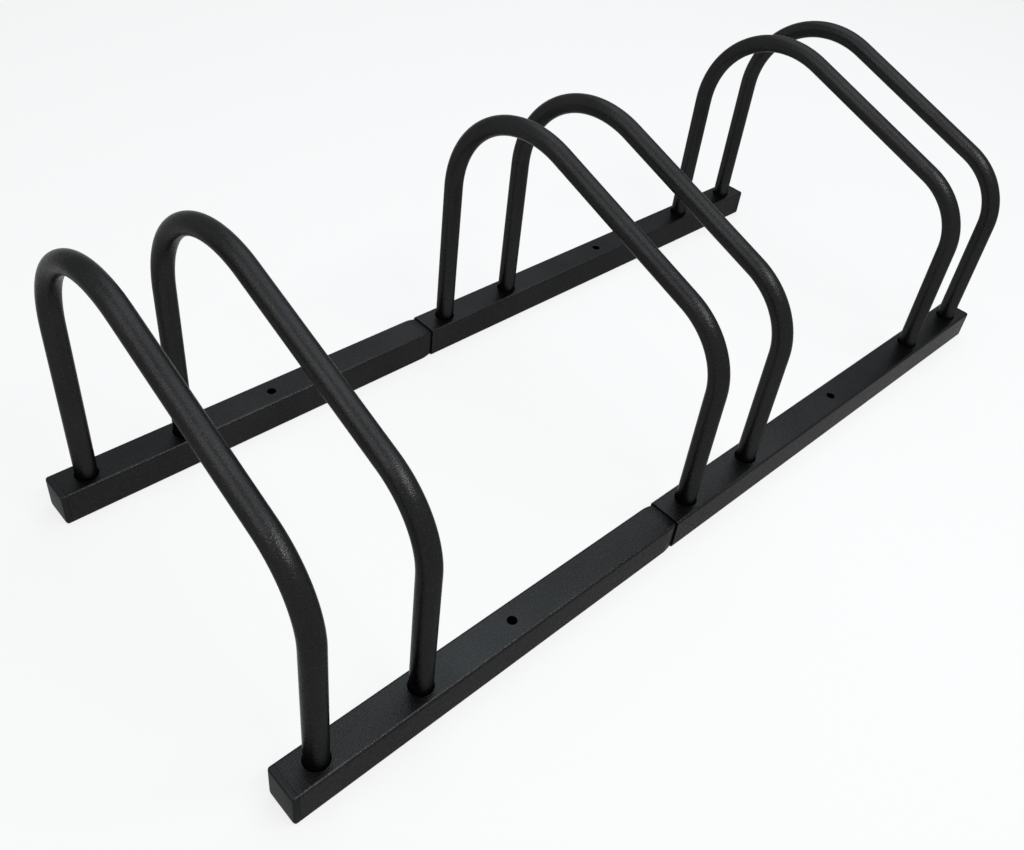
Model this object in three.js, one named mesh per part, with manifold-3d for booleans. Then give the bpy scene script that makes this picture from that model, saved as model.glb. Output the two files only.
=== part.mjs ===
// Floor bike rack for three bicycles: two square rails lie on the floor, and three pairs of bent hoops
// stand in them. A wheel rolls in between the two hoops of a pair.
// Millimetres, +X along the rails, +Y towards the tall side of the hoops, +Z up. The origin is on the
// floor, midway between the rails and midway along the row of hoops.

import * as THREE from 'three';
import { mergeVertices } from 'three/addons/utils/BufferGeometryUtils.js';
import Module from 'manifold-3d';

const wasm = await Module();
wasm.setup();

// ---------------------------------------------------------------- driving dimensions

// Layout of the rack.
const BAYS = 3;
const BAY_PITCH = 320; // from one bicycle to the next
const HOOP_SPACING = 73; // centre to centre of the two hoops of a bay
const RAIL_SPACING = 275; // centre to centre of the two rails
const RACK_HEIGHT = 240; // floor to the top of a hoop

// Square rail tube, made in two lengths that plug into each other.
const RAIL_SIZE = 26;
const RAIL_WALL = 1;
const RAIL_CORNER = 2; // outside corner radius
const RAIL_OVERHANG = 19.5; // outermost hoop's centre to the end of the rail tube
const SEAM_TO_HOOP = 23.5; // joint in the rail to the centre of the hoop that pins it
const SPIGOT_LENGTH = 45; // necked end that goes inside the other length
const SPIGOT_CLEARANCE = 0.2; // on each side, inside the other length
const NECK_LENGTH = 10; // rounded shoulder between full size and spigot

// Hoop, bent from round tube.
const HOOP_DIAMETER = 15;
const HOOP_WALL = 1;
const CREST_RADIUS = 81; // centreline radius of the bend at the top
const SHOULDER_RADIUS = 58; // centreline radius of the bend at the low side
const SLOPE_DEG = 20.2; // fall of the straight between the bends

// Holes in the rails.
const FOOT_HOLE_CLEARANCE = 0.7; // around a hoop's foot, in the upper wall
const PIN_HOLE_CLEARANCE = 0.6; // around a hoop's foot, in both walls of the spigot
const ANCHOR_HOLE_DIAMETER = 7; // floor anchors go through both walls
const SHORT_RAIL_ANCHOR = 73.5; // from the second hoop
const LONG_RAIL_ANCHOR = 120.5; // from the fourth hoop

// Countersunk screw that holds a foot down, from below.
const SCREW_DIAMETER = 5;
const SCREW_LENGTH = 18;
const SCREW_HEAD_DIAMETER = 9.5;
const SCREW_SOCKET = 3; // across the flats of the hexagon
const SCREW_SOCKET_DEPTH = 1.6;
const SCREW_TIP_CHAMFER = 1;
const SCREW_RECESS = 0.15; // underside of the head above the floor
const SCREW_CLEARANCE = 0.3;
const DIMPLE_WALL = 1.2; // thickness of the pressed cone around the head

// Threaded plug in the end of each hoop leg.
const PLUG_LENGTH = 12;
const PLUG_CHAMFER = 0.8;
const PLUG_CLEARANCE = 0.25; // to the inside of the tube
const PLUG_INSET = 2.7; // above the end of the leg

// Plastic cap in the end of each rail.
const CAP_HEAD = 4;
const CAP_EDGE = 1.8; // rounding of the head's outer edge
const CAP_SEAM = 0.2; // line between the head and the tube
const CAP_TO_LEG = 1.5; // the plug ends this far short of the outermost leg
const CAP_PLUG_WALL = 1.6;
const CAP_BARBS = 3;
const CAP_BARB_HEIGHT = 0.7;
const CAP_CLEARANCE = 0.25; // barb tips to the inside of the tube

const SEAT_GAP = 0.3; // between a leg's end and the wall it stands on
const CUT_PAST = 1; // a cutting tool goes this far past the wall

// How finely round things are divided.
const CORNER_STEPS = 3;
const CAP_CORNER_STEPS = 2;
const NECK_STEPS = 4;
const BEND_STEP_DEG = 14;
const HOOP_SIDES = 16;
const BORE_SIDES = 10;
const HOLE_SIDES = 16;
const SCREW_SIDES = 10;

// ---------------------------------------------------------------- derived places

const hoopXs = Array.from({ length: BAYS * 2 }, (_, i) => {
  const bay = Math.floor(i / 2) - (BAYS - 1) / 2;
  const side = i % 2 ? 1 : -1;
  return bay * BAY_PITCH + (side * HOOP_SPACING) / 2;
});
const railEnd = hoopXs.at(-1) + RAIL_OVERHANG;
const seamHoop = 2 * Math.floor(BAYS / 2); // the first hoop of the middle bay stands over the joint
const seamX = hoopXs[seamHoop] - SEAM_TO_HOOP;
const anchorXs = [hoopXs[seamHoop - 1] + SHORT_RAIL_ANCHOR, hoopXs[seamHoop + 1] + LONG_RAIL_ANCHOR];
const railInside = RAIL_SIZE - 2 * RAIL_WALL;
const spigotSize = railInside - 2 * SPIGOT_CLEARANCE;
const innerCorner = RAIL_CORNER - RAIL_WALL;
const hoopRadius = HOOP_DIAMETER / 2;
const boreRadius = hoopRadius - HOOP_WALL;
const footZ = RAIL_WALL + SEAT_GAP;
const capPlugLength = RAIL_OVERHANG + CAP_SEAM - hoopRadius - CAP_TO_LEG;
const footHoleRadius = hoopRadius + FOOT_HOLE_CLEARANCE;
const pinHoleRadius = hoopRadius + PIN_HOLE_CLEARANCE;

// A right-angled cone's surface lies this much further out, measured level, than it does squarely.
const LEVEL = Math.SQRT2;
const headRadius = SCREW_HEAD_DIAMETER / 2;
const shankRadius = SCREW_DIAMETER / 2;
const screwHoleRadius = shankRadius + SCREW_CLEARANCE;
// The screw's cone is headRadius wide at SCREW_RECESS, and narrows by its own height.
const sinkRadius = headRadius + SCREW_RECESS + SCREW_CLEARANCE * LEVEL;
const dimpleRadius = sinkRadius + DIMPLE_WALL * LEVEL;
const dimpleTop = sinkRadius - screwHoleRadius + SCREW_CLEARANCE;

// ---------------------------------------------------------------- materials

const powderCoat = new THREE.MeshStandardMaterial({
  color: 0x26292c,
  roughness: 0.5,
  metalness: 0.1,
});
const capPlastic = new THREE.MeshStandardMaterial({
  color: 0x1e1f20,
  roughness: 0.6,
  metalness: 0,
});
const zincSteel = new THREE.MeshStandardMaterial({
  color: 0xb9bcc0,
  roughness: 0.35,
  metalness: 1,
});
const plainSteel = new THREE.MeshStandardMaterial({
  color: 0x8f9296,
  roughness: 0.45,
  metalness: 1,
});

// ---------------------------------------------------------------- solids and booleans

/** A closed three.js geometry as a manifold-3d solid. */
function solidOf(geometry) {
  const bare = geometry.clone();
  bare.deleteAttribute('normal');
  bare.deleteAttribute('uv');
  const merged = mergeVertices(bare, 1e-4);
  return new wasm.Manifold(
    new wasm.Mesh({
      numProp: 3,
      vertProperties: merged.attributes.position.array,
      triVerts: new Uint32Array(merged.index.array),
    }),
  );
}

/** A manifold-3d solid as a flat-shaded three.js geometry. */
function geometryOf(solid) {
  const mesh = solid.getMesh();
  const indexed = new THREE.BufferGeometry();
  indexed.setAttribute('position', new THREE.BufferAttribute(new Float32Array(mesh.vertProperties), 3));
  indexed.setIndex(new THREE.BufferAttribute(new Uint32Array(mesh.triVerts), 1));
  const geometry = indexed.toNonIndexed();
  geometry.computeVertexNormals();
  return geometry;
}

/** An upright round rod from low to high, over the point x on a rail's centreline. */
function rod(x, radius, low, high, sides = HOLE_SIDES) {
  const geometry = new THREE.CylinderGeometry(radius, radius, high - low, sides);
  geometry.rotateX(Math.PI / 2);
  geometry.translate(x, 0, (low + high) / 2);
  return solidOf(geometry);
}

/** A solid turned about an upright axis over x, from [radius, height] points. */
function turned(points, x = 0, sides = HOLE_SIDES) {
  const profile = points.map(([radius, height]) => new THREE.Vector2(radius, height));
  const geometry = new THREE.LatheGeometry(profile, sides);
  geometry.rotateX(Math.PI / 2);
  geometry.translate(x, 0, 0);
  return solidOf(geometry);
}

// ---------------------------------------------------------------- square sections

/** The outline of a rounded square round the rail's axis, at x, as a ring of points. */
function squareRing(x, size, corner, cornerSteps = CORNER_STEPS) {
  const reach = size / 2 - corner;
  const ring = [];
  for (let quarter = 0; quarter < 4; quarter++) {
    const centre = new THREE.Vector2(reach, reach).rotateAround(new THREE.Vector2(), (quarter * Math.PI) / 2);
    for (let i = 0; i <= cornerSteps; i++) {
      const angle = ((quarter + i / cornerSteps) * Math.PI) / 2;
      const y = centre.x + corner * Math.cos(angle);
      const z = centre.y + corner * Math.sin(angle);
      ring.push(new THREE.Vector3(x, y, RAIL_SIZE / 2 + z));
    }
  }
  return ring;
}

/** Skins rings of equally many points. looped joins the last ring to the first; otherwise both ends close flat. */
function skin(rings, looped) {
  const count = rings[0].length;
  const points = rings.flat();
  const index = [];
  const spans = looped ? rings.length : rings.length - 1;
  for (let r = 0; r < spans; r++) {
    const here = r * count;
    const there = ((r + 1) % rings.length) * count;
    for (let i = 0; i < count; i++) {
      const next = (i + 1) % count;
      index.push(here + i, here + next, there + next, here + i, there + next, there + i);
    }
  }
  if (!looped) {
    const last = (rings.length - 1) * count;
    for (let i = 1; i < count - 1; i++) {
      index.push(0, i + 1, i, last, last + i, last + i + 1);
    }
  }
  const geometry = new THREE.BufferGeometry().setFromPoints(points);
  geometry.setIndex(index);
  return solidOf(geometry);
}

/** A square tube from [x, outside size] stations, with the rail's wall all the way. */
function squareTube(stations) {
  const outside = stations.map(([x, size]) => squareRing(x, size, RAIL_CORNER));
  const inside = stations.map(([x, size]) => squareRing(x, size - 2 * RAIL_WALL, innerCorner));
  return skin([...outside, ...inside.reverse()], true);
}

// ---------------------------------------------------------------- rails

/** Opens the upper wall for a foot, and presses a cone into the lower wall for its screw. */
function withFootSeat(tube, x) {
  const boss = turned(
    [
      [0, RAIL_WALL / 2],
      [dimpleRadius - RAIL_WALL / 2, RAIL_WALL / 2],
      [dimpleRadius - RAIL_WALL, RAIL_WALL],
      [dimpleRadius - dimpleTop, dimpleTop],
      [0, dimpleTop],
    ],
    x,
  );
  const sink = turned(
    [
      [0, -CUT_PAST],
      [sinkRadius + CUT_PAST, -CUT_PAST],
      [screwHoleRadius, sinkRadius - screwHoleRadius],
      [screwHoleRadius, dimpleTop + CUT_PAST],
      [0, dimpleTop + CUT_PAST],
    ],
    x,
  );
  return tube
    .subtract(rod(x, footHoleRadius, RAIL_SIZE / 2, RAIL_SIZE + CUT_PAST))
    .add(boss)
    .subtract(sink);
}

function withAnchorHole(tube, x) {
  return tube.subtract(rod(x, ANCHOR_HOLE_DIAMETER / 2, -CUT_PAST, RAIL_SIZE + CUT_PAST));
}

/** The short length of rail. Its necked end goes into the long length, and the seam hoop's foot pins it there. */
function shortRail() {
  const neckEnd = seamX - SEAT_GAP;
  const stations = [[-railEnd, RAIL_SIZE]];
  for (let i = 0; i <= NECK_STEPS; i++) {
    const along = i / NECK_STEPS;
    const drawnIn = 1 - Math.cos((Math.PI / 2) * along);
    stations.push([neckEnd - NECK_LENGTH * (1 - along), THREE.MathUtils.lerp(RAIL_SIZE, spigotSize, drawnIn)]);
  }
  stations.push([seamX + SPIGOT_LENGTH, spigotSize]);
  let tube = squareTube(stations);
  for (const x of hoopXs.filter((hoopX) => hoopX < seamX)) {
    tube = withFootSeat(tube, x);
  }
  tube = withAnchorHole(tube, anchorXs[0]);
  const pinHole = rod(hoopXs[seamHoop], pinHoleRadius, -CUT_PAST, RAIL_SIZE + CUT_PAST);
  return geometryOf(tube.subtract(pinHole));
}

/** The long length of rail, with the socket end at the seam. */
function longRail() {
  let tube = squareTube([
    [seamX, RAIL_SIZE],
    [railEnd, RAIL_SIZE],
  ]);
  for (const x of hoopXs.filter((hoopX) => hoopX > seamX)) {
    tube = withFootSeat(tube, x);
  }
  return geometryOf(withAnchorHole(tube, anchorXs[1]));
}

/** An end cap for the +X end of a rail: a rounded head, and a hollow plug with barbs. */
function endCap() {
  const plugSize = railInside - 2 * (CAP_CLEARANCE + CAP_BARB_HEIGHT);
  const rings = [];
  const ring = (x, size, corner) => rings.push(squareRing(x, size, corner, CAP_CORNER_STEPS));
  // From the middle of the head's outer face, round its edge and back to the tube.
  for (let i = 0; i <= CORNER_STEPS; i++) {
    const angle = ((i / CORNER_STEPS) * Math.PI) / 2;
    const inset = CAP_EDGE * (1 - Math.sin(angle));
    const x = railEnd + CAP_HEAD - CAP_EDGE * (1 - Math.cos(angle));
    ring(x, RAIL_SIZE - 2 * inset, RAIL_CORNER);
  }
  const seatX = railEnd + CAP_SEAM;
  ring(seatX, RAIL_SIZE, RAIL_CORNER);
  ring(seatX, plugSize, innerCorner);
  // Barbs stand up squarely towards the head and fall away towards the end of the plug.
  const barbPitch = capPlugLength / (CAP_BARBS + 1);
  for (let i = 1; i <= CAP_BARBS; i++) {
    const x = seatX - i * barbPitch;
    ring(x, plugSize, innerCorner);
    ring(x, plugSize + 2 * CAP_BARB_HEIGHT, innerCorner);
  }
  const endX = seatX - capPlugLength;
  const hollow = plugSize - 2 * CAP_PLUG_WALL;
  ring(endX, plugSize, innerCorner);
  ring(endX, hollow, innerCorner);
  ring(seatX, hollow, innerCorner);
  return geometryOf(skin(rings.reverse(), false));
}

// ---------------------------------------------------------------- hoops

/** A bent tube's centreline, sampled only at the ends of its straights and along its bends. */
class BentPath extends THREE.Curve {
  constructor(stations) {
    super();
    this.stations = stations;
  }

  nearest(t) {
    return this.stations[Math.round(t * (this.stations.length - 1))];
  }

  getUtoTmapping(u) {
    return u;
  }

  getPoint(t, target = new THREE.Vector3()) {
    return target.copy(this.nearest(t).point);
  }

  getTangent(t, target = new THREE.Vector3()) {
    return target.copy(this.nearest(t).tangent);
  }
}

/** Points along a bend in the YZ plane, clockwise from one heading to another, both in degrees above +Y. */
function bend(centreY, centreZ, radius, fromDeg, toDeg) {
  const steps = Math.ceil((fromDeg - toDeg) / BEND_STEP_DEG);
  return Array.from({ length: steps + 1 }, (_, i) => {
    const heading = THREE.MathUtils.degToRad(fromDeg + ((toDeg - fromDeg) * i) / steps);
    const y = centreY - radius * Math.sin(heading);
    const z = centreZ + radius * Math.cos(heading);
    return {
      point: new THREE.Vector3(0, y, z),
      tangent: new THREE.Vector3(0, Math.cos(heading), Math.sin(heading)),
    };
  });
}

/** The hoop's centreline, from its front foot over the shoulder and the crest to its rear foot. */
function hoopPath() {
  const slope = THREE.MathUtils.degToRad(SLOPE_DEG);
  const frontY = -RAIL_SPACING / 2;
  const rearY = RAIL_SPACING / 2;
  const radiusChange = CREST_RADIUS - SHOULDER_RADIUS;
  const crestZ = RACK_HEIGHT - hoopRadius - CREST_RADIUS;
  const levelRun = RAIL_SPACING - CREST_RADIUS - SHOULDER_RADIUS - radiusChange * Math.sin(slope);
  const shoulderZ = crestZ + radiusChange * Math.cos(slope) - levelRun * Math.tan(slope);
  return new BentPath([
    { point: new THREE.Vector3(0, frontY, footZ), tangent: new THREE.Vector3(0, 0, 1) },
    ...bend(frontY + SHOULDER_RADIUS, shoulderZ, SHOULDER_RADIUS, 90, SLOPE_DEG),
    ...bend(rearY - CREST_RADIUS, crestZ, CREST_RADIUS, SLOPE_DEG, 0),
    ...bend(rearY - CREST_RADIUS, crestZ, CREST_RADIUS, 0, -90).slice(1),
    { point: new THREE.Vector3(0, rearY, footZ), tangent: new THREE.Vector3(0, 0, -1) },
  ]);
}

function circle(kind, radius, sides) {
  const points = Array.from({ length: sides }, (_, i) => {
    const angle = (i / sides) * 2 * Math.PI;
    return new THREE.Vector2(radius * Math.cos(angle), radius * Math.sin(angle));
  });
  return new kind(points);
}

function hoopTube() {
  const section = circle(THREE.Shape, hoopRadius, HOOP_SIDES);
  section.holes.push(circle(THREE.Path, boreRadius, BORE_SIDES));
  const path = hoopPath();
  return new THREE.ExtrudeGeometry(section, {
    steps: path.stations.length - 1,
    extrudePath: path,
  });
}

// ---------------------------------------------------------------- fastenings

/** The threaded plug pressed into the end of a leg. */
function legPlug() {
  const outer = boreRadius - PLUG_CLEARANCE;
  const low = footZ + PLUG_INSET;
  const high = low + PLUG_LENGTH;
  return geometryOf(
    turned(
      [
        [screwHoleRadius, low],
        [outer - PLUG_CHAMFER, low],
        [outer, low + PLUG_CHAMFER],
        [outer, high - PLUG_CHAMFER],
        [outer - PLUG_CHAMFER, high],
        [screwHoleRadius, high],
        [screwHoleRadius, low],
      ],
      0,
      SCREW_SIDES,
    ),
  );
}

/** A countersunk screw with a hexagon socket in its underside. */
function footScrew() {
  const neckZ = SCREW_RECESS + headRadius - shankRadius;
  const tipZ = SCREW_RECESS + SCREW_LENGTH;
  const body = turned(
    [
      [0, SCREW_RECESS],
      [headRadius, SCREW_RECESS],
      [shankRadius, neckZ],
      [shankRadius, tipZ - SCREW_TIP_CHAMFER],
      [shankRadius - SCREW_TIP_CHAMFER, tipZ],
      [0, tipZ],
    ],
    0,
    SCREW_SIDES,
  );
  const acrossCorners = SCREW_SOCKET / Math.cos(Math.PI / 6) / 2;
  const socket = rod(0, acrossCorners, -CUT_PAST, SCREW_RECESS + SCREW_SOCKET_DEPTH, 6);
  return geometryOf(body.subtract(socket));
}

// ---------------------------------------------------------------- assembly

function place(group, name, geometry, material, x = 0, y = 0) {
  const mesh = new THREE.Mesh(geometry, material);
  mesh.name = name;
  mesh.position.set(x, y, 0);
  group.add(mesh);
  return mesh;
}

const rack = new THREE.Group();
const sides = [
  ['front', -RAIL_SPACING / 2],
  ['rear', RAIL_SPACING / 2],
];

const shortRailGeometry = shortRail();
const longRailGeometry = longRail();
const capGeometry = endCap();
for (const [side, y] of sides) {
  const rail = new THREE.Group();
  rail.position.y = y;
  place(rail, `${side}_rail_short`, shortRailGeometry, powderCoat);
  place(rail, `${side}_rail_long`, longRailGeometry, powderCoat);
  place(rail, `${side}_right_end_cap`, capGeometry, capPlastic);
  const leftCap = place(rail, `${side}_left_end_cap`, capGeometry, capPlastic);
  leftCap.rotation.z = Math.PI;
  rack.add(rail);
}

const hoopGeometry = hoopTube();
const plugGeometry = legPlug();
const screwGeometry = footScrew();
hoopXs.forEach((x, i) => {
  const name = `hoop_${i + 1}`;
  const stand = new THREE.Group();
  stand.position.x = x;
  place(stand, name, hoopGeometry, powderCoat);
  for (const [side, y] of sides) {
    place(stand, `${name}_${side}_threaded_plug`, plugGeometry, plainSteel, 0, y);
    place(stand, `${name}_${side}_screw`, screwGeometry, zincSteel, 0, y);
  }
  rack.add(stand);
});

export default rack;
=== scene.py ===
# %% [markdown]
# # A floor bike rack in black powder coat
#
# The rack is a pair of square rails on the floor with six bent hoops standing in them. Its construction
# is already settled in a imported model, which we load as a fixed frame: every piece there has its real
# size and place. What we make here is the looks. Each piece is modelled again, finely, in the very space
# that its plain solid holds, and gets a finish built from nodes.
#
# The script is in metres, with X along the rails, Y from the low side of the hoops to the tall side,
# and Z up from the floor.

# %% Load the frame
import math

import bmesh
import bpy
from mathutils import Matrix, Vector


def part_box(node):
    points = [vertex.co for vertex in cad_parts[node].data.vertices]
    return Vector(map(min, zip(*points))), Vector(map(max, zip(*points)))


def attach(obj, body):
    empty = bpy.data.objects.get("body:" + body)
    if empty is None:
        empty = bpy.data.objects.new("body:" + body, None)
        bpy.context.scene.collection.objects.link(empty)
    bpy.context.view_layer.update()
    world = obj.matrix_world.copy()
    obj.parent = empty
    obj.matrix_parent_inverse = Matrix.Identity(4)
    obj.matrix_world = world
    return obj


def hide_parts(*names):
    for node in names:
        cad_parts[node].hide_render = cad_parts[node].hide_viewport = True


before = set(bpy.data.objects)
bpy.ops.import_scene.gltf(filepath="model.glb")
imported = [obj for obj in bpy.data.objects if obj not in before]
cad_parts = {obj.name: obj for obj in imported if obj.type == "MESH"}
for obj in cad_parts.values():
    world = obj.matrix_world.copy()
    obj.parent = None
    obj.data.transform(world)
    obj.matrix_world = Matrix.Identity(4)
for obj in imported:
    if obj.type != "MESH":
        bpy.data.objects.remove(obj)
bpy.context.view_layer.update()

MM = 0.001

# %% [markdown]
# ## Sizes that everything shares
#
# Most sizes can be read off the frame, so a change there follows through to here: the rail's width is the
# height of a rail's box, and the tube's diameter is a hoop's width along X. Only what a box can't tell,
# such as a wall or the radius of a bend, is written down.

# %% Read the sizes
HOOPS = [f"hoop_{number}" for number in range(1, 7)]
SIDES = ("front", "rear")

rail_low, rail_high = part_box("front_rail_long")
RAIL = rail_high.z - rail_low.z
RAIL_WALL = 1.0 * MM
RAIL_CORNER = 2.0 * MM

hoop_low, hoop_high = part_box("hoop_1")
TUBE = hoop_high.x - hoop_low.x
TUBE_WALL = 1.0 * MM
FOOT_Z = hoop_low.z
RACK_HEIGHT = hoop_high.z
CREST_RADIUS = 81 * MM
SHOULDER_RADIUS = 58 * MM
SLOPE = math.radians(20.2)

rail_y = {}
for side in SIDES:
    low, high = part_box(f"{side}_rail_long")
    rail_y[side] = (low.y + high.y) / 2

hoop_x = {}
for hoop in HOOPS:
    low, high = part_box(hoop)
    hoop_x[hoop] = (low.x + high.x) / 2

print("rail", RAIL, "tube", TUBE, "rails at", rail_y)
print("hoops at", [round(x, 4) for x in hoop_x.values()])

# %% [markdown]
# ## The camera
#
# The photograph was taken from in front of the rack's left end, from about half a metre up, with a short
# lens held a little askew. The place, turn and lens below were found by laying the rack's outline over
# the photograph until the two agreed. The small shift is there because the picture was cropped off its
# middle.

# %% Place the camera
IMAGE_WIDTH = 1024
IMAGE_HEIGHT = 850
SENSOR_WIDTH = 36
NEAREST_SEEN = 10 * MM
CAMERA_AT = Vector((-519.4, -395.3, 552.4)) * MM
CAMERA_AZIMUTH = math.radians(-48.347)
CAMERA_ELEVATION = math.radians(38.568)
CAMERA_ROLL = math.radians(7.926)
FOCAL_PIXELS = 1017.9
CENTRE_PIXEL = (526.8, 365.6)


def camera_turn(azimuth, elevation, roll):
    """The camera's axes, for a view from that side, from that height, rolled about its line of sight."""
    back = Vector((
        math.sin(azimuth) * math.cos(elevation),
        -math.cos(azimuth) * math.cos(elevation),
        math.sin(elevation),
    ))
    right = (-back).cross(Vector((0, 0, 1))).normalized()
    up = back.cross(right)
    rolled_right = right * math.cos(roll) + up * math.sin(roll)
    rolled_up = up * math.cos(roll) - right * math.sin(roll)
    return Matrix((rolled_right, rolled_up, back)).transposed()


camera_data = bpy.data.cameras.new("camera")
camera_data.sensor_width = SENSOR_WIDTH
camera_data.lens = FOCAL_PIXELS * SENSOR_WIDTH / IMAGE_WIDTH
camera_data.shift_x = (IMAGE_WIDTH / 2 - CENTRE_PIXEL[0]) / IMAGE_WIDTH
camera_data.shift_y = (CENTRE_PIXEL[1] - IMAGE_HEIGHT / 2) / IMAGE_WIDTH
camera_data.clip_start = NEAREST_SEEN
camera = bpy.data.objects.new("camera", camera_data)
turn = camera_turn(CAMERA_AZIMUTH, CAMERA_ELEVATION, CAMERA_ROLL)
camera.matrix_world = Matrix.Translation(CAMERA_AT) @ turn.to_4x4()
bpy.context.scene.collection.objects.link(camera)
bpy.context.scene.camera = camera
print("camera", round(CAMERA_AT.length, 2), "m away, lens", round(camera_data.lens, 2), "mm")

# %% [markdown]
# ## Helpers for modelling by hand in code
#
# Blender's operators act on whatever is selected, so every piece begins with nothing selected, and in
# edit mode the right points are picked by a test of their place. Each helper does one thing that a hand
# would do with the mouse.

# %% Selecting


def deselect_all():
    if bpy.context.mode != "OBJECT":
        bpy.ops.object.mode_set(mode="OBJECT")
    bpy.ops.object.select_all(action="DESELECT")


def work_on(piece):
    deselect_all()
    piece.select_set(True)
    bpy.context.view_layer.objects.active = piece


def pick_all(kind):
    """In edit mode, selects the whole mesh by its points, 'VERT', or by its edges, 'EDGE'."""
    bpy.ops.mesh.select_mode(type=kind)
    bpy.ops.mesh.select_all(action="SELECT")


def pick_points(test):
    """In edit mode, selects the points whose place passes the test."""
    bpy.ops.mesh.select_mode(type="VERT")
    bpy.ops.mesh.select_all(action="DESELECT")
    mesh = bmesh.from_edit_mesh(bpy.context.edit_object.data)
    for point in mesh.verts:
        if test(point.co):
            point.select_set(True)
    mesh.select_flush_mode()
    bmesh.update_edit_mesh(bpy.context.edit_object.data)


def settle():
    """Moves the new piece's place into its mesh, so that its object sits at the origin."""
    bpy.ops.object.transform_apply(location=True, rotation=True, scale=True)


# %% Drawing and pushing out sections


def extrude(x=0.0, y=0.0, z=0.0):
    bpy.ops.mesh.extrude_region_move(TRANSFORM_OT_translate={"value": (x, y, z)})


def scale_about(centre, x=1.0, y=1.0, z=1.0):
    bpy.ops.transform.resize(value=(x, y, z), center_override=centre)


def start_ring(name, centre, radius, sides):
    """Adds a level ring of edges and stays in edit mode with all of it selected."""
    deselect_all()
    bpy.ops.mesh.primitive_circle_add(vertices=sides, radius=radius, fill_type="NOTHING", location=centre)
    settle()
    bpy.context.object.name = name
    bpy.ops.object.mode_set(mode="EDIT")
    pick_all("EDGE")
    return bpy.context.object


def grow_ring(height, steps):
    """Pushes the selected ring, level at that height, through steps of (rise, factor to widen by)."""
    for rise, factor in steps:
        extrude(z=rise)
        height += rise
        scale_about((0, 0, height), x=factor, y=factor)


# %% Finishing a piece
SAME_POINT = 0.0005 * MM


def apply_modifier(piece, kind, **settings):
    """Adds a modifier, sets it and applies it."""
    modifier = piece.modifiers.new(kind.lower(), kind)
    for setting, value in settings.items():
        setattr(modifier, setting, value)
    bpy.ops.object.modifier_apply(modifier=modifier.name)


def merge_doubles(piece):
    """Joins points that lie on one another, and drops faces that have no area left."""
    work_on(piece)
    bpy.ops.object.mode_set(mode="EDIT")
    bpy.ops.mesh.select_all(action="SELECT")
    bpy.ops.mesh.remove_doubles(threshold=SAME_POINT)
    bpy.ops.mesh.dissolve_degenerate(threshold=SAME_POINT)
    bpy.ops.object.mode_set(mode="OBJECT")


def clean_up(piece):
    """Merges doubles and turns every face outwards."""
    merge_doubles(piece)
    bpy.ops.object.mode_set(mode="EDIT")
    bpy.ops.mesh.select_all(action="SELECT")
    bpy.ops.mesh.normals_make_consistent(inside=False)
    bpy.ops.object.mode_set(mode="OBJECT")


def copied(piece, name, move):
    """A copy of a piece with its own mesh, moved in its mesh."""
    copy = piece.copy()
    copy.data = piece.data.copy()
    copy.data.transform(Matrix.Translation(move))
    copy.name = name
    copy.data.name = name
    bpy.context.scene.collection.objects.link(copy)
    return copy


def hand_over(piece, node, material):
    """The piece stands for a node of the frame, moves with it and takes its finish."""
    piece.name = f"{node}_fine"
    piece.data.name = piece.name
    piece.data.materials.clear()
    piece.data.materials.append(material)
    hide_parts(node)
    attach(piece, "root")


def shade(piece, degrees=30):
    work_on(piece)
    bpy.ops.object.shade_smooth_by_angle(angle=math.radians(degrees))


# %% [markdown]
# ## Shader maths
#
# A finish is worked out from noise and edges with plain arithmetic. Written straight into nodes, that is
# a dozen lines for one sum, so a small class wraps a socket and lets it be added and multiplied as a
# number is. Every expression leaves its Math nodes behind in the material. All other nodes are added by one
# method too, which takes a node's type, what its sockets get, and its settings.

# %% A socket that can be calculated with


class Value:
    """A node's output that takes part in arithmetic."""

    def __init__(self, nodes, socket):
        self.nodes = nodes
        self.socket = socket

    def math(self, operation, other):
        return self.nodes.add("ShaderNodeMath", {0: self, 1: other}, {"operation": operation})

    def __add__(self, other):
        return self.math("ADD", other)

    def __radd__(self, other):
        return self.math("ADD", other)

    def __sub__(self, other):
        return self.math("SUBTRACT", other)

    def __rsub__(self, other):
        return (self * -1).math("ADD", other)

    def __mul__(self, other):
        return self.math("MULTIPLY", other)

    def __rmul__(self, other):
        return self.math("MULTIPLY", other)

    def smooth(self, low, high):
        """0 below low, 1 above high, and a soft step between."""
        sockets = {"Value": self, "From Min": low, "From Max": high}
        return self.nodes.add("ShaderNodeMapRange", sockets, {"interpolation_type": "SMOOTHSTEP"})


# %% One way to add any node
# a Mix node's sockets for colours go by number, because its sockets for numbers have the same names
MIX_SHARE, MIX_FIRST, MIX_SECOND = 0, 6, 7
MIX_RESULT = 2


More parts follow.
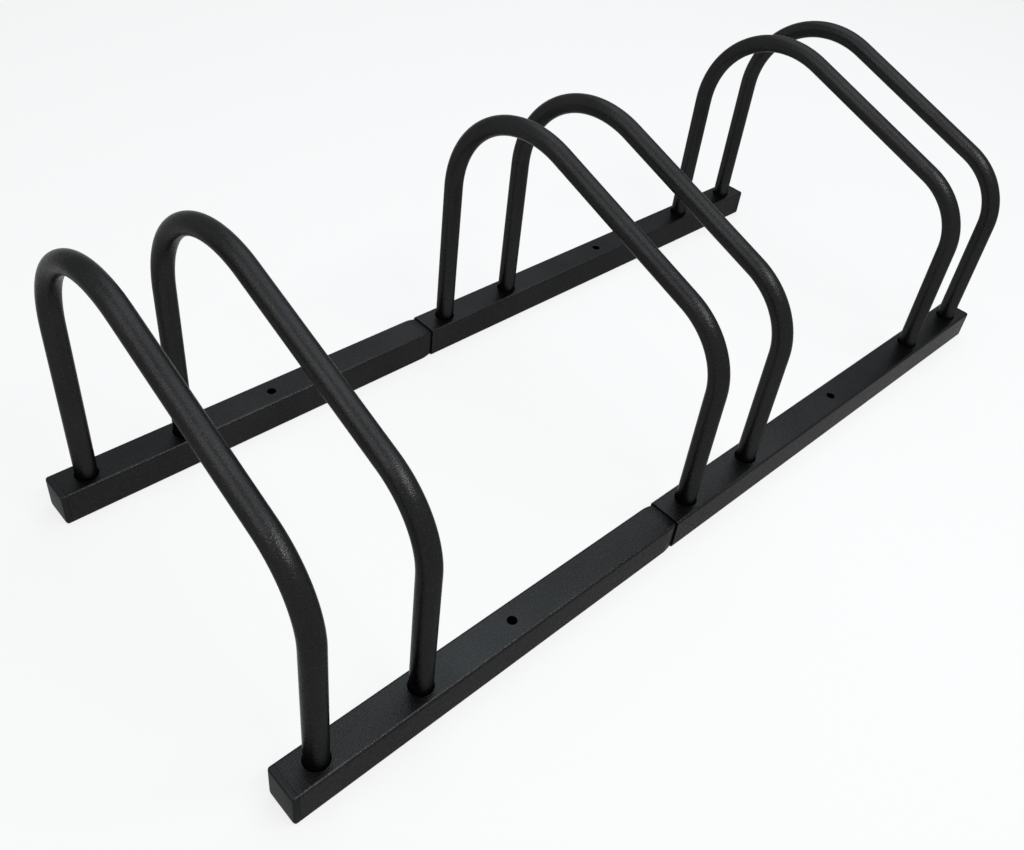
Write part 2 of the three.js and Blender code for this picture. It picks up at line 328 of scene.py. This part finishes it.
class Nodes:
    """A node tree, with one method that adds any node."""

    def __init__(self, tree):
        self.tree = tree

    def add(self, kind, sockets=None, settings=None, output=0):
        """Adds a node: its settings first, then what its sockets get, numbers or links."""
        node = self.tree.nodes.new(kind)
        for setting, value in (settings or {}).items():
            setattr(node, setting, value)
        for name, item in (sockets or {}).items():
            self.feed(node.inputs[name], item)
        return Value(self, node.outputs[output])

    def feed(self, socket, item):
        """Links a value to a socket, or sets a plain number or colour on it."""
        if isinstance(item, Value):
            self.tree.links.new(item.socket, socket)
        else:
            socket.default_value = item

    def find(self, kind):
        """The tree's own node of that type."""
        return next(node for node in self.tree.nodes if node.type == kind)

    def mix(self, share, first, second):
        """The first colour where share is 0 and the second where it is 1."""
        sockets = {MIX_SHARE: share, MIX_FIRST: first, MIX_SECOND: second}
        return self.add("ShaderNodeMix", sockets, {"data_type": "RGBA"}, MIX_RESULT)

    def looked_at(self):
        """1 for a ray that looks straight, in a mirror or through glass, and 0 for one that gathers light."""
        straight = self.add("ShaderNodeLightPath", output="Is Camera Ray")
        mirrored = self.add("ShaderNodeLightPath", output="Is Glossy Ray")
        through = self.add("ShaderNodeLightPath", output="Is Transmission Ray")
        return straight + mirrored + through


# %% A finish
PEBBLE_METALLIC = 0.9
PEBBLE_EDGE = (0.5, 0.5, 0.5, 1.0)
PEBBLE_SPECULAR = 0.1


class Finish(Nodes):
    """A material with a Principled shader, whose patterns are placed by Object coordinates."""

    def __init__(self, name):
        self.material = bpy.data.materials.new(name)
        self.material.use_nodes = True
        super().__init__(self.material.node_tree)
        self.shader = self.find("BSDF_PRINCIPLED")
        self.place = self.add("ShaderNodeTexCoord", output="Object")

    def set(self, **inputs):
        """Sets the shader's own sockets, with _ for a space in a socket's name."""
        for name, item in inputs.items():
            self.feed(self.shader.inputs[name.replace("_", " ")], item)

    def noise(self, size, detail=2.0, roughness=0.5):
        """Noise with lumps of about that size, in metres, from 0 to 1."""
        sockets = {"Vector": self.place, "Scale": 1 / size, "Detail": detail, "Roughness": roughness}
        return self.add("ShaderNodeTexNoise", sockets)

    def bump(self, height, depth):
        """Turns a height from 0 to 1 into a bumpy normal, for bumps of that depth in metres."""
        return self.add("ShaderNodeBump", {"Height": height, "Distance": depth, "Strength": 1.0})

    def pebbled_shine(self):
        """A near-black shine that doesn't swell towards the edge."""
        self.set(
            Metallic=PEBBLE_METALLIC,
            Specular_Tint=PEBBLE_EDGE,
            Specular_IOR_Level=PEBBLE_SPECULAR,
        )


def screen_colour(red, green, blue):
    """A colour as a screen shows it, from 0 to 255, turned to the values that light uses (sRGB's curve)."""
    channels = []
    for value in (red, green, blue):
        share = value / 255
        if share <= 0.04045:
            channels.append(share / 12.92)
        else:
            channels.append(((share + 0.055) / 1.055) ** 2.4)
    return (*channels, 1.0)


# %% [markdown]
# ## Black powder coat
#
# Powder coat is plastic dust baked onto steel. It flows together, but not wholly: the skin keeps a fine
# pebbled grain, about a millimetre across, which breaks every highlight up into sparkle, and under it a
# lazy waviness like orange peel. We add the two as noise into one height for the bump, and let the tone and
# the gloss wander a little from place to place, because spraying and handling never leave it even.
#
# The usual plastic shine swells towards the edge of a tube and would rim every tube with the white of the
# floor. The pebbles of the real coat shade one another there, and no rim shows. The Metallic shine has a
# tint for its edge, so most of the shine is made that way here, in near-black, with the edge held back.

# %% Mix the powder coat
COAT_GRAIN = 1.0 * MM
COAT_PEEL = 7 * MM
COAT_DRIFT = 60 * MM
COAT_DEPTH = 0.25 * MM
COAT_DARK = screen_colour(35, 35, 35)
COAT_LIGHT = screen_colour(39, 39, 39)
COAT_SPECK = screen_colour(66, 66, 66)
COAT_SPECK_SHARE = 0.25
COAT_ROUGHNESS = 0.25


def powder_coat():
    finish = Finish("black_powder_coat")
    grain = finish.noise(COAT_GRAIN, roughness=0.6)
    peel = finish.noise(COAT_PEEL, detail=1)
    drift = finish.noise(COAT_DRIFT)
    tone = finish.mix(drift.smooth(0.35, 0.7), COAT_DARK, COAT_LIGHT)
    speck = grain.smooth(0.52, 0.68)
    finish.set(
        Base_Color=finish.mix(speck * COAT_SPECK_SHARE, tone, COAT_SPECK),
        Roughness=COAT_ROUGHNESS + 0.08 * drift - 0.06 * speck,
        Normal=finish.bump(0.9 * grain + 0.6 * peel, COAT_DEPTH),
    )
    finish.pebbled_shine()
    return finish.material


# %% [markdown]
# ## Moulded plastic, zinc and turned steel
#
# The end caps are moulded plastic: a finer, softer grain than the paint's, and a flatter sheen. The
# screws are zinc plated, with a faint blue bloom, and the threaded plugs are plain turned steel whose
# tool marks run round them as fine rings.

# %% Mix the caps' plastic
CAP_GRAIN = 0.35 * MM
CAP_DRIFT = 12 * MM
CAP_DEPTH = 0.02 * MM
CAP_DARK = screen_colour(35, 36, 37)
CAP_LIGHT = screen_colour(39, 40, 41)
CAP_ROUGHNESS = 0.36


def cap_plastic():
    finish = Finish("black_cap_plastic")
    grain = finish.noise(CAP_GRAIN)
    drift = finish.noise(CAP_DRIFT)
    finish.set(
        Base_Color=finish.mix(drift, CAP_DARK, CAP_LIGHT),
        Roughness=CAP_ROUGHNESS + 0.08 * drift,
        Normal=finish.bump(grain, CAP_DEPTH),
    )
    finish.pebbled_shine()
    return finish.material


# %% Mix the zinc
ZINC_BLOOM = 2.5 * MM
ZINC_SCRATCH = 0.3 * MM
ZINC_DEPTH = 0.008 * MM
ZINC_BLUISH = screen_colour(196, 200, 208)
ZINC_PALE = screen_colour(222, 222, 218)
ZINC_ROUGHNESS = 0.26


def zinc_plate():
    finish = Finish("zinc_plate")
    bloom = finish.noise(ZINC_BLOOM, detail=3)
    scratches = finish.noise(ZINC_SCRATCH)
    finish.set(
        Base_Color=finish.mix(bloom, ZINC_BLUISH, ZINC_PALE),
        Roughness=ZINC_ROUGHNESS + 0.18 * bloom,
        Metallic=1.0,
        Normal=finish.bump(scratches, ZINC_DEPTH),
    )
    return finish.material


# %% Mix the turned steel
STEEL_STAIN = 3 * MM
STEEL_RINGS = 4 * MM
STEEL_DEPTH = 0.01 * MM
STEEL_DARK = screen_colour(150, 152, 156)
STEEL_PALE = screen_colour(176, 176, 174)
STEEL_ROUGHNESS = 0.34


def turned_steel():
    finish = Finish("turned_steel")
    stain = finish.noise(STEEL_STAIN, detail=3)
    rings = finish.add(
        "ShaderNodeTexWave",
        {"Vector": finish.place, "Scale": 1 / STEEL_RINGS, "Distortion": 0.4},
        {"wave_type": "BANDS", "bands_direction": "Z"},
    )
    finish.set(
        Base_Color=finish.mix(stain, STEEL_DARK, STEEL_PALE),
        Roughness=STEEL_ROUGHNESS + 0.16 * stain,
        Metallic=1.0,
        Normal=finish.bump(rings, STEEL_DEPTH),
    )
    return finish.material


# %% Make all four
POWDER_COAT = powder_coat()
CAP_PLASTIC = cap_plastic()
ZINC_PLATE = zinc_plate()
TURNED_STEEL = turned_steel()
print("finishes:", [m.name for m in (POWDER_COAT, CAP_PLASTIC, ZINC_PLATE, TURNED_STEEL)])

# %% [markdown]
# ## The hoops
#
# A hoop is one round tube, bent twice. A tube bender does exactly what Blender's extrude and spin do to
# a ring of edges: push it straight, swing it round the bend's centre, push it straight again. So we
# start with a ring at the front foot and follow the bender: up the front leg, round the shoulder, along the
# slope, round the crest and down the rear leg. Then Solidify gives the skin its wall. The first
# hoop is bent once and copied for the other five.

# %% Work out the bends
TUBE_SIDES = 48
SHOULDER_STEPS = 24
CREST_STEPS = 40

crest_centre_y = rail_y["rear"] - CREST_RADIUS
crest_centre_z = RACK_HEIGHT - TUBE / 2 - CREST_RADIUS
shoulder_centre_y = rail_y["front"] + SHOULDER_RADIUS
radius_change = CREST_RADIUS - SHOULDER_RADIUS
level_run = crest_centre_y - shoulder_centre_y - radius_change * math.sin(SLOPE)
shoulder_centre_z = crest_centre_z + radius_change * math.cos(SLOPE) - level_run * math.tan(SLOPE)
slope_length = level_run / math.cos(SLOPE)
print("straight between the bends", round(slope_length / MM, 1), "mm")

# %% Bend the first hoop


def swing(steps, degrees, centre):
    """Swings the selected ring round a level axis along X, from straight up towards +Y."""
    bpy.ops.mesh.spin(
        steps=steps,
        angle=math.radians(degrees),
        center=centre,
        axis=(1, 0, 0),
        use_auto_merge=False,
    )


def bend_hoop():
    x = hoop_x["hoop_1"]
    hoop = start_ring("hoop", (x, rail_y["front"], FOOT_Z), TUBE / 2, TUBE_SIDES)
    extrude(z=shoulder_centre_z - FOOT_Z)
    swing(SHOULDER_STEPS, 90 - math.degrees(SLOPE), (x, shoulder_centre_y, shoulder_centre_z))
    extrude(y=slope_length * math.cos(SLOPE), z=slope_length * math.sin(SLOPE))
    swing(CREST_STEPS, 90 + math.degrees(SLOPE), (x, crest_centre_y, crest_centre_z))
    extrude(z=FOOT_Z - crest_centre_z)
    clean_up(hoop)
    apply_modifier(hoop, "SOLIDIFY", thickness=TUBE_WALL, offset=-1)
    shade(hoop)
    return hoop


first_hoop = bend_hoop()
low = [min(v.co[i] for v in first_hoop.data.vertices) for i in range(3)]
high = [max(v.co[i] for v in first_hoop.data.vertices) for i in range(3)]
print("hoop spans", [round(c, 4) for c in low], [round(c, 4) for c in high])
print("its node spans", [round(c, 4) for c in hoop_low], [round(c, 4) for c in hoop_high])

# %% Copy it for the other five
for hoop in HOOPS[1:]:
    other = copied(first_hoop, hoop, (hoop_x[hoop] - hoop_x["hoop_1"], 0, 0))
    hand_over(other, hoop, POWDER_COAT)
hand_over(first_hoop, "hoop_1", POWDER_COAT)
print(len(HOOPS), "hoops of", len(first_hoop.data.polygons), "faces each")

# %% [markdown]
# ## The rails
#
# Each rail is square tube with rounded corners, in two lengths. We draw the section as a square whose
# corners are bevelled round, drop its face, and push the outline along X. At the joint the short length is
# necked: the tool that reduces it leaves a rounded shoulder, so its rings shrink along a quarter of a
# cosine. Solidify gives the wall, and Boolean cutters drill the holes, as on the real tube, before a small
# Bevel rounds their rims the way paint does.
#
# Each leg's screw sits in a cone that is pressed up into the lower wall, so that its head stays clear of
# the floor. A tapered boss is joined on there first, and a slightly smaller cone is then sunk in it, which
# leaves an even wall.

# %% Sizes of the rail's details
CORNER_SEGMENTS = 8
NECK_LENGTH = 10 * MM
NECK_STEPS = 12
SPIGOT_CLEARANCE = 0.2 * MM
SEAM_GAP = 0.3 * MM
SPIGOT = RAIL - 2 * RAIL_WALL - 2 * SPIGOT_CLEARANCE
FOOT_HOLE = TUBE / 2 + 0.7 * MM
PIN_HOLE = TUBE / 2 + 0.6 * MM
ANCHOR_HOLE = 3.5 * MM
SHORT_RAIL_ANCHOR = 73.5 * MM
LONG_RAIL_ANCHOR = 120.5 * MM
RIM_BEVEL = 0.25 * MM
HOLE_SIDES = 64

screw_low, screw_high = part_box("hoop_1_front_screw")
HEAD_RADIUS = 4.75 * MM
SCREW_RECESS = screw_low.z
SCREW_RADIUS = 2.5 * MM
SCREW_CLEARANCE = 0.3 * MM
DIMPLE_WALL = 1.2 * MM
screw_hole = SCREW_RADIUS + SCREW_CLEARANCE
sink_radius = HEAD_RADIUS + SCREW_RECESS + SCREW_CLEARANCE * math.sqrt(2)
dimple_radius = sink_radius + DIMPLE_WALL * math.sqrt(2)
dimple_top = sink_radius - screw_hole + SCREW_CLEARANCE
seam_x = rail_low.x
anchor_x = {
    "short": hoop_x["hoop_2"] + SHORT_RAIL_ANCHOR,
    "long": hoop_x["hoop_4"] + LONG_RAIL_ANCHOR,
}
print("joint at", round(seam_x, 4), "fixing holes at", anchor_x)

# %% Draw a section and push it along the rail


def start_section(name, x, y):
    """Draws the rail's rounded outline at x and stays in edit mode with it selected."""
    deselect_all()
    bpy.ops.mesh.primitive_plane_add(size=RAIL, location=(x, y, RAIL / 2), rotation=(0, math.pi / 2, 0))
    settle()
    bpy.context.object.name = name
    bpy.ops.object.mode_set(mode="EDIT")
    bpy.ops.mesh.select_all(action="SELECT")
    bpy.ops.mesh.bevel(offset=RAIL_CORNER, affect="VERTICES", segments=CORNER_SEGMENTS, profile=0.5)
    bpy.ops.mesh.select_all(action="SELECT")
    bpy.ops.mesh.delete(type="ONLY_FACE")
    pick_all("EDGE")
    return bpy.context.object


def push_section(y, stations):
    """Pushes the selected outline through stations of (x, size), and scales it about the rail's middle."""
    x, size = stations[0]
    for next_x, next_size in stations[1:]:
        extrude(x=next_x - x)
        factor = next_size / size
        scale_about((next_x, y, RAIL / 2), y=factor, z=factor)
        x, size = next_x, next_size


def rail_tube(name, y, stations):
    """The section pushed through the stations, and given its wall inwards."""
    tube = start_section(name, stations[0][0], y)
    push_section(y, stations)
    clean_up(tube)
    apply_modifier(tube, "SOLIDIFY", thickness=RAIL_WALL, offset=-1, use_even_offset=True)
    return tube


# %% Drill and press the holes
CUT_PAST = 1 * MM  # how far a cutter reaches beyond what it cuts


def cutter(name, low, high, radius, x, y, top_radius=None, sides=HOLE_SIDES):
    """A round cutter or boss from low to high, straight or, with a top radius, tapered."""
    deselect_all()
    place = (x, y, (low + high) / 2)
    if top_radius is None:
        bpy.ops.mesh.primitive_cylinder_add(vertices=sides, radius=radius, depth=high - low, location=place)
    else:
        bpy.ops.mesh.primitive_cone_add(
            vertices=sides,
            radius1=radius,
            radius2=top_radius,
            depth=high - low,
            location=place,
        )
    settle()
    bpy.context.object.name = name
    return bpy.context.object


def combine(piece, tool, operation):
    """Cuts or joins with a tool, then throws the tool away."""
    work_on(piece)
    apply_modifier(piece, "BOOLEAN", operation=operation, object=tool, solver="EXACT")
    bpy.data.objects.remove(tool)
    merge_doubles(piece)


def foot_seat(tube, x, y):
    """A hole for the leg in the upper wall, and a pressed cone for its screw in the lower one."""
    combine(tube, cutter("leg_hole", RAIL / 2, RAIL + CUT_PAST, FOOT_HOLE, x, y), "DIFFERENCE")
    boss_low = RAIL_WALL / 2
    boss = cutter("boss", boss_low, dimple_top, dimple_radius - boss_low, x, y, dimple_radius - dimple_top)
    combine(tube, boss, "UNION")
    sink_top = sink_radius - screw_hole
    sink = cutter("sink", -CUT_PAST, sink_top, sink_radius + CUT_PAST, x, y, screw_hole)
    combine(tube, sink, "DIFFERENCE")
    combine(tube, cutter("screw_hole", 0, RAIL / 2, screw_hole, x, y), "DIFFERENCE")


def through_hole(tube, x, y, radius):
    """A plain hole through both walls."""
    combine(tube, cutter("hole", -CUT_PAST, RAIL + CUT_PAST, radius, x, y), "DIFFERENCE")


def round_rims(tube):
    """Rounds every sharp edge: the rims of the holes and of the open ends."""
    work_on(tube)
    apply_modifier(
        tube,
        "BEVEL",
        width=RIM_BEVEL,
        segments=3,
        limit_method="ANGLE",
        angle_limit=math.radians(60),
        harden_normals=True,
    )


# %% Make the four lengths


def short_rail(side):
    """The left length, with its neck and the spigot that goes inside the long one."""
    y = rail_y[side]
    node = f"{side}_rail_short"
    low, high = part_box(node)
    neck_end = seam_x - SEAM_GAP
    stations = [(low.x, RAIL)]
    for step in range(NECK_STEPS + 1):
        along = step / NECK_STEPS
        drawn_in = 1 - math.cos(math.pi / 2 * along)
        stations.append((neck_end - NECK_LENGTH * (1 - along), RAIL + (SPIGOT - RAIL) * drawn_in))
    stations.append((high.x, SPIGOT))
    tube = rail_tube(node, y, stations)
    for hoop in HOOPS[:2]:
        foot_seat(tube, hoop_x[hoop], y)
    through_hole(tube, anchor_x["short"], y, ANCHOR_HOLE)
    through_hole(tube, hoop_x["hoop_3"], y, PIN_HOLE)
    round_rims(tube)
    return tube, node


def long_rail(side):
    """The right length, plain from end to end."""
    y = rail_y[side]
    node = f"{side}_rail_long"
    low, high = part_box(node)
    tube = rail_tube(node, y, [(low.x, RAIL), (high.x, RAIL)])
    for hoop in HOOPS[2:]:
        foot_seat(tube, hoop_x[hoop], y)
    through_hole(tube, anchor_x["long"], y, ANCHOR_HOLE)
    round_rims(tube)
    return tube, node


for side in SIDES:
    for make in (short_rail, long_rail):
        rail, node = make(side)
        hand_over(rail, node, POWDER_COAT)
        print(node, len(rail.data.polygons), "faces")

# %% [markdown]
# ## The end caps
#
# A cap is pushed into each open end. Its head matches the tube's outline and is well rounded towards
# the end, and a hollow barbed plug grips inside. All of it is one outline pushed through rings of changing
# size, from the outer face inwards, with both ends filled.

# %% Mould a cap
CAP_HEAD = 4 * MM
CAP_EDGE = 1.8 * MM
CAP_EDGE_STEPS = 9
CAP_SEAM = 0.2 * MM
CAP_PLUG_WALL = 1.6 * MM
CAP_BARBS = 3
CAP_BARB = 0.7 * MM
CAP_CLEARANCE = 0.25 * MM


def end_cap(node, outwards):
    """Moulds the cap in the space of its node; outwards is +1 at the right end and -1 at the left."""
    low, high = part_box(node)
    y = (low.y + high.y) / 2
    face_x = high.x if outwards > 0 else low.x
    depth = high.x - low.x
    plug = RAIL - 2 * RAIL_WALL - 2 * (CAP_CLEARANCE + CAP_BARB)
    hollow = plug - 2 * CAP_PLUG_WALL
    seat = CAP_HEAD - CAP_SEAM
    barb_pitch = (depth - seat) / (CAP_BARBS + 1)
    rings = []
    for step in range(CAP_EDGE_STEPS + 1):
        angle = step / CAP_EDGE_STEPS * math.pi / 2
        rings.append((CAP_EDGE * (1 - math.cos(angle)), RAIL - 2 * CAP_EDGE * (1 - math.sin(angle))))
    rings += [(seat, RAIL), (seat, plug)]
    for barb in range(1, CAP_BARBS + 1):
        back = seat + barb * barb_pitch
        rings += [(back, plug), (back, plug + 2 * CAP_BARB)]
    rings += [(depth, plug), (depth, hollow), (seat, hollow)]
    cap = start_section(node, face_x, y)
    factor = rings[0][1] / RAIL
    scale_about((face_x, y, RAIL / 2), y=factor, z=factor)
    bpy.ops.mesh.edge_face_add()
    pick_all("EDGE")
    push_section(y, [(face_x - outwards * back, size) for back, size in rings])
    bpy.ops.mesh.edge_face_add()
    clean_up(cap)
    shade(cap, 40)
    return cap


for side in SIDES:
    for end, outwards in (("left", -1), ("right", 1)):
        node = f"{side}_{end}_end_cap"
        cap = end_cap(node, outwards)
        hand_over(cap, node, CAP_PLASTIC)
print("caps have", len(cap.data.polygons), "faces each")

# %% [markdown]
# ## The screws
#
# A countersunk machine screw comes up through each pressed seat. Its thread is a real helix: one tooth's
# outline, a chain of three points, is swept round by the Screw modifier for as many turns as the thread is
# long, cut off flat at both ends by bisecting, and joined to a head. The head starts as a ring that narrows
# upwards at forty-five degrees, and a six-sided cutter sinks the socket.

# %% Sizes of the screw
SCREW_PITCH = 0.8 * MM
THREAD_DEPTH = 0.45 * MM
SOCKET_WIDTH = 3.0 * MM
SOCKET_DEPTH = 1.6 * MM
TIP_LENGTH = 1.0 * MM  # the plain tip beyond the thread
THREAD_STEPS = 20
THREAD_LEAD = 2  # turns that are swept beyond each end, and cut off
THREAD_OVERLAP = 0.02 * MM  # how far the thread reaches into the screw's core
THREAD_MERGE = 0.01 * MM
HEAD_RIM = 0.1 * MM
SCREW_SIDES = 40
screw_tip = screw_high.z
neck_z = SCREW_RECESS + HEAD_RADIUS - SCREW_RADIUS
print("screw from", round(SCREW_RECESS / MM, 2), "to", round(screw_tip / MM, 2), "mm above the floor")

# %% Cut a thread


def threaded_rod(name, root_radius, depth, low, high):
    """A helix of one V-shaped tooth from low to high, closed at both ends, round the upright axis."""
    deselect_all()
    bpy.ops.mesh.primitive_plane_add(size=root_radius, location=(0, 0, 0))
    settle()
    rod = bpy.context.object
    rod.name = name
    bpy.ops.object.mode_set(mode="EDIT")
    pick_all("VERT")
    bpy.ops.mesh.merge(type="CENTER")
    bpy.ops.transform.translate(value=(root_radius, 0, low - THREAD_LEAD * SCREW_PITCH))
    extrude(x=depth, z=SCREW_PITCH / 2)
    extrude(x=-depth, z=SCREW_PITCH / 2)
    bpy.ops.object.mode_set(mode="OBJECT")
    turns = math.ceil((high - low) / SCREW_PITCH) + 2 * THREAD_LEAD
    apply_modifier(
        rod,
        "SCREW",
        axis="Z",
        screw_offset=SCREW_PITCH,
        iterations=turns,
        steps=THREAD_STEPS,
        render_steps=THREAD_STEPS,
        use_merge_vertices=True,
        merge_threshold=THREAD_MERGE,
    )
    bpy.ops.object.mode_set(mode="EDIT")
    for level, upwards in ((low, False), (high, True)):
        bpy.ops.mesh.select_all(action="SELECT")
        bpy.ops.mesh.bisect(
            plane_co=(0, 0, level),
            plane_no=(0, 0, 1),
            use_fill=True,
            clear_inner=not upwards,
            clear_outer=upwards,
        )
    bpy.ops.object.mode_set(mode="OBJECT")
    clean_up(rod)
    return rod


def open_edges(piece):
    """How many edges don't join exactly two faces, which is none on a closed piece."""
    mesh = bmesh.new()
    mesh.from_mesh(piece.data)
    count = sum(1 for edge in mesh.edges if len(edge.link_faces) != 2)
    mesh.free()
    return count


# %% Turn the screw


def countersunk_screw():
    """The screw on the upright axis through the origin, at its height in the rail."""
    screw = start_ring("screw", (0, 0, SCREW_RECESS), HEAD_RADIUS, SCREW_SIDES)
    bpy.ops.mesh.edge_face_add()
    pick_all("EDGE")
    core = SCREW_RADIUS - THREAD_DEPTH
    grow_ring(SCREW_RECESS, [
        (HEAD_RIM, 1.0),
        (neck_z - SCREW_RECESS - HEAD_RIM, SCREW_RADIUS / HEAD_RADIUS),
        (SCREW_PITCH / 2, core / SCREW_RADIUS),
        (screw_tip - neck_z - SCREW_PITCH / 2, 1.0),
    ])
    bpy.ops.mesh.edge_face_add()
    clean_up(screw)
    socket_top = SCREW_RECESS + SOCKET_DEPTH
    socket = cutter("socket", -CUT_PAST, socket_top, SOCKET_WIDTH / math.sqrt(3), 0, 0, sides=6)
    combine(screw, socket, "DIFFERENCE")
    root = core - THREAD_OVERLAP
    thread = threaded_rod("thread", root, THREAD_DEPTH + THREAD_OVERLAP, neck_z, screw_tip - TIP_LENGTH)
    print("open edges in the thread:", open_edges(thread))
    combine(screw, thread, "UNION")
    shade(screw, 35)
    return screw


screw = countersunk_screw()
print("screw has", len(screw.data.polygons), "faces and", open_edges(screw), "open edges")

# %% [markdown]
# ## The threaded plugs
#
# A steel plug pressed into the end of each leg takes the screw. It is turned from bar with a chamfer at
# each end and is knurled lengthwise, so that it bites into the tube. Every other corner of its outline is
# drawn in to make the knurl, and the same helix as the screw's, a little larger, cuts its thread.

# %% Turn the plug
PLUG_CHAMFER = 0.8 * MM
KNURL_TEETH = 36
KNURL_DEPTH = 0.18 * MM
PLUG_CLEARANCE = 0.25 * MM
PLUG_RADIUS = TUBE / 2 - TUBE_WALL - PLUG_CLEARANCE
plug_low, plug_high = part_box("hoop_1_front_threaded_plug")


def threaded_plug():
    """The plug on the upright axis through the origin, at its height in the leg."""
    plug = start_ring("plug", (0, 0, plug_low.z), PLUG_RADIUS - PLUG_CHAMFER, 2 * KNURL_TEETH)
    bpy.ops.mesh.edge_face_add()
    pick_all("EDGE")
    widen = PLUG_RADIUS / (PLUG_RADIUS - PLUG_CHAMFER)
    grow_ring(plug_low.z, [
        (PLUG_CHAMFER, widen),
        (plug_high.z - plug_low.z - 2 * PLUG_CHAMFER, 1.0),
        (PLUG_CHAMFER, 1 / widen),
    ])
    bpy.ops.mesh.edge_face_add()

    def is_groove(place):
        on_side = plug_low.z + PLUG_CHAMFER / 2 < place.z < plug_high.z - PLUG_CHAMFER / 2
        tooth = math.atan2(place.y, place.x) / math.tau * 2 * KNURL_TEETH
        return on_side and round(tooth) % 2 == 1

    pick_points(is_groove)
    shrink = 1 - KNURL_DEPTH / PLUG_RADIUS
    scale_about((0, 0, 0), x=shrink, y=shrink)
    clean_up(plug)
    bore = threaded_rod("bore", screw_hole, THREAD_DEPTH, plug_low.z - CUT_PAST, plug_high.z + CUT_PAST)
    combine(plug, bore, "DIFFERENCE")
    shade(plug, 25)
    return plug


plug = threaded_plug()
print("plug has", len(plug.data.polygons), "faces and", open_edges(plug), "open edges")

# %% Put one of each in every leg
for hoop in HOOPS:
    for side in SIDES:
        foot = (hoop_x[hoop], rail_y[side], 0)
        hand_over(copied(screw, "screw", foot), f"{hoop}_{side}_screw", ZINC_PLATE)
        hand_over(copied(plug, "plug", foot), f"{hoop}_{side}_threaded_plug", TURNED_STEEL)
for master in (screw, plug):
    bpy.data.objects.remove(master)
print(len(HOOPS) * len(SIDES), "legs hold a screw and a plug each")

# %% [markdown]
# ## The studio
#
# The rack stands on a plain pale floor before a pale backdrop. A large softbox hangs over it and behind
# it, and gives the rails and the crests their cool sheen; a long key lamp in front sets the bright streak
# where each hoop turns down; a panel at the left end lights the slopes' near sides; the rest of the light
# is a dim, even room. Together they light a level white surface a quarter brighter than plain white.
#
# Floor and backdrop are pale only to a ray that looks at them: straight from the camera, in a mirror or
# through glass. So they show nearly white without more light on the rack, and the floor keeps its shadow.

# %% Lay the floor
FLOOR_SIZE = 30.0
FLOOR_DROP = 0.2 * MM
FLOOR_PAINT = (0.85, 0.85, 0.85, 1.0)
FLOOR_ROUGHNESS = 0.9
FLOOR_GLOW = (1.0, 1.0, 1.0, 1.0)
FLOOR_GLOW_SHARE = 0.8

deselect_all()
bpy.ops.mesh.primitive_plane_add(size=FLOOR_SIZE, location=(0, 0, -FLOOR_DROP))
floor = bpy.context.object
floor.name = "floor"


def pale_floor():
    """Pale matt paint, mixed towards a white glow for every ray that looks at it."""
    finish = Finish("pale_floor")
    finish.set(Base_Color=FLOOR_PAINT, Roughness=FLOOR_ROUGHNESS, Specular_IOR_Level=0.0)
    paint = Value(finish, finish.shader.outputs[0])
    glow = finish.add("ShaderNodeEmission", {"Color": FLOOR_GLOW})
    surface = finish.add("ShaderNodeMixShader", {0: finish.looked_at() * FLOOR_GLOW_SHARE, 1: paint, 2: glow})
    finish.feed(finish.find("OUTPUT_MATERIAL").inputs["Surface"], surface)
    return finish.material


floor.data.materials.append(pale_floor())
print("floor", FLOOR_SIZE, "m square")

# %% Hang the lamps
LAMP_AIM = Vector((0.0, 0.0, 0.1))
LAMPS = {
    # name: place, length, width, brightness, colour
    "softbox": ((0.60, 0.38, 1.68), 1.6, 2.0, 1.9, (0.80, 0.92, 1.0)),
    "key_lamp": ((0.1, -0.75, 1.32), 1.1, 0.15, 22.0, (1.0, 1.0, 1.0)),
    "left_panel": ((-1.09, 0.10, 1.25), 0.9, 0.9, 2.2, (1.0, 0.99, 0.98)),
}


def soft_lamp(name, place, length, width, brightness, colour):
    """A panel that shines so many times brighter than white paper under plain light."""
    data = bpy.data.lights.new(name, "AREA")
    data.shape = "RECTANGLE"
    data.size = length
    data.size_y = width
    data.energy = brightness * math.pi * length * width
    data.color = colour
    lamp = bpy.data.objects.new(name, data)
    lamp.location = place
    lamp.rotation_euler = (LAMP_AIM - place).to_track_quat("-Z", "Y").to_euler()
    lamp.visible_camera = False
    bpy.context.scene.collection.objects.link(lamp)
    print(name, "of", round(data.energy, 1), "watts")


for name, (place, length, width, brightness, colour) in LAMPS.items():
    soft_lamp(name, Vector(place), length, width, brightness, colour)

# %% Light the room
ROOM_LOW = (0.11, 0.10, 0.09, 1)
ROOM_HIGH = (0.09, 0.10, 0.11, 1)
BACKDROP = (0.95, 0.97, 1.0, 1)


def room_light():
    """A dim, even room, a little cooler above, with a pale backdrop for every ray that looks at it."""
    world = bpy.data.worlds.new("room")
    world.use_nodes = True
    room = Nodes(world.node_tree)
    direction = room.add("ShaderNodeTexCoord", output="Generated")
    height = room.add("ShaderNodeSeparateXYZ", {"Vector": direction}, output="Z")
    dim = room.mix(height.smooth(0.0, 1.0), ROOM_LOW, ROOM_HIGH)
    light = room.mix(room.looked_at(), dim, BACKDROP)
    room.feed(room.find("BACKGROUND").inputs["Color"], light)
    return world


bpy.context.scene.world = room_light()
bpy.context.scene.view_settings.view_transform = "Standard"
print("room lit, backdrop", BACKDROP[:3])
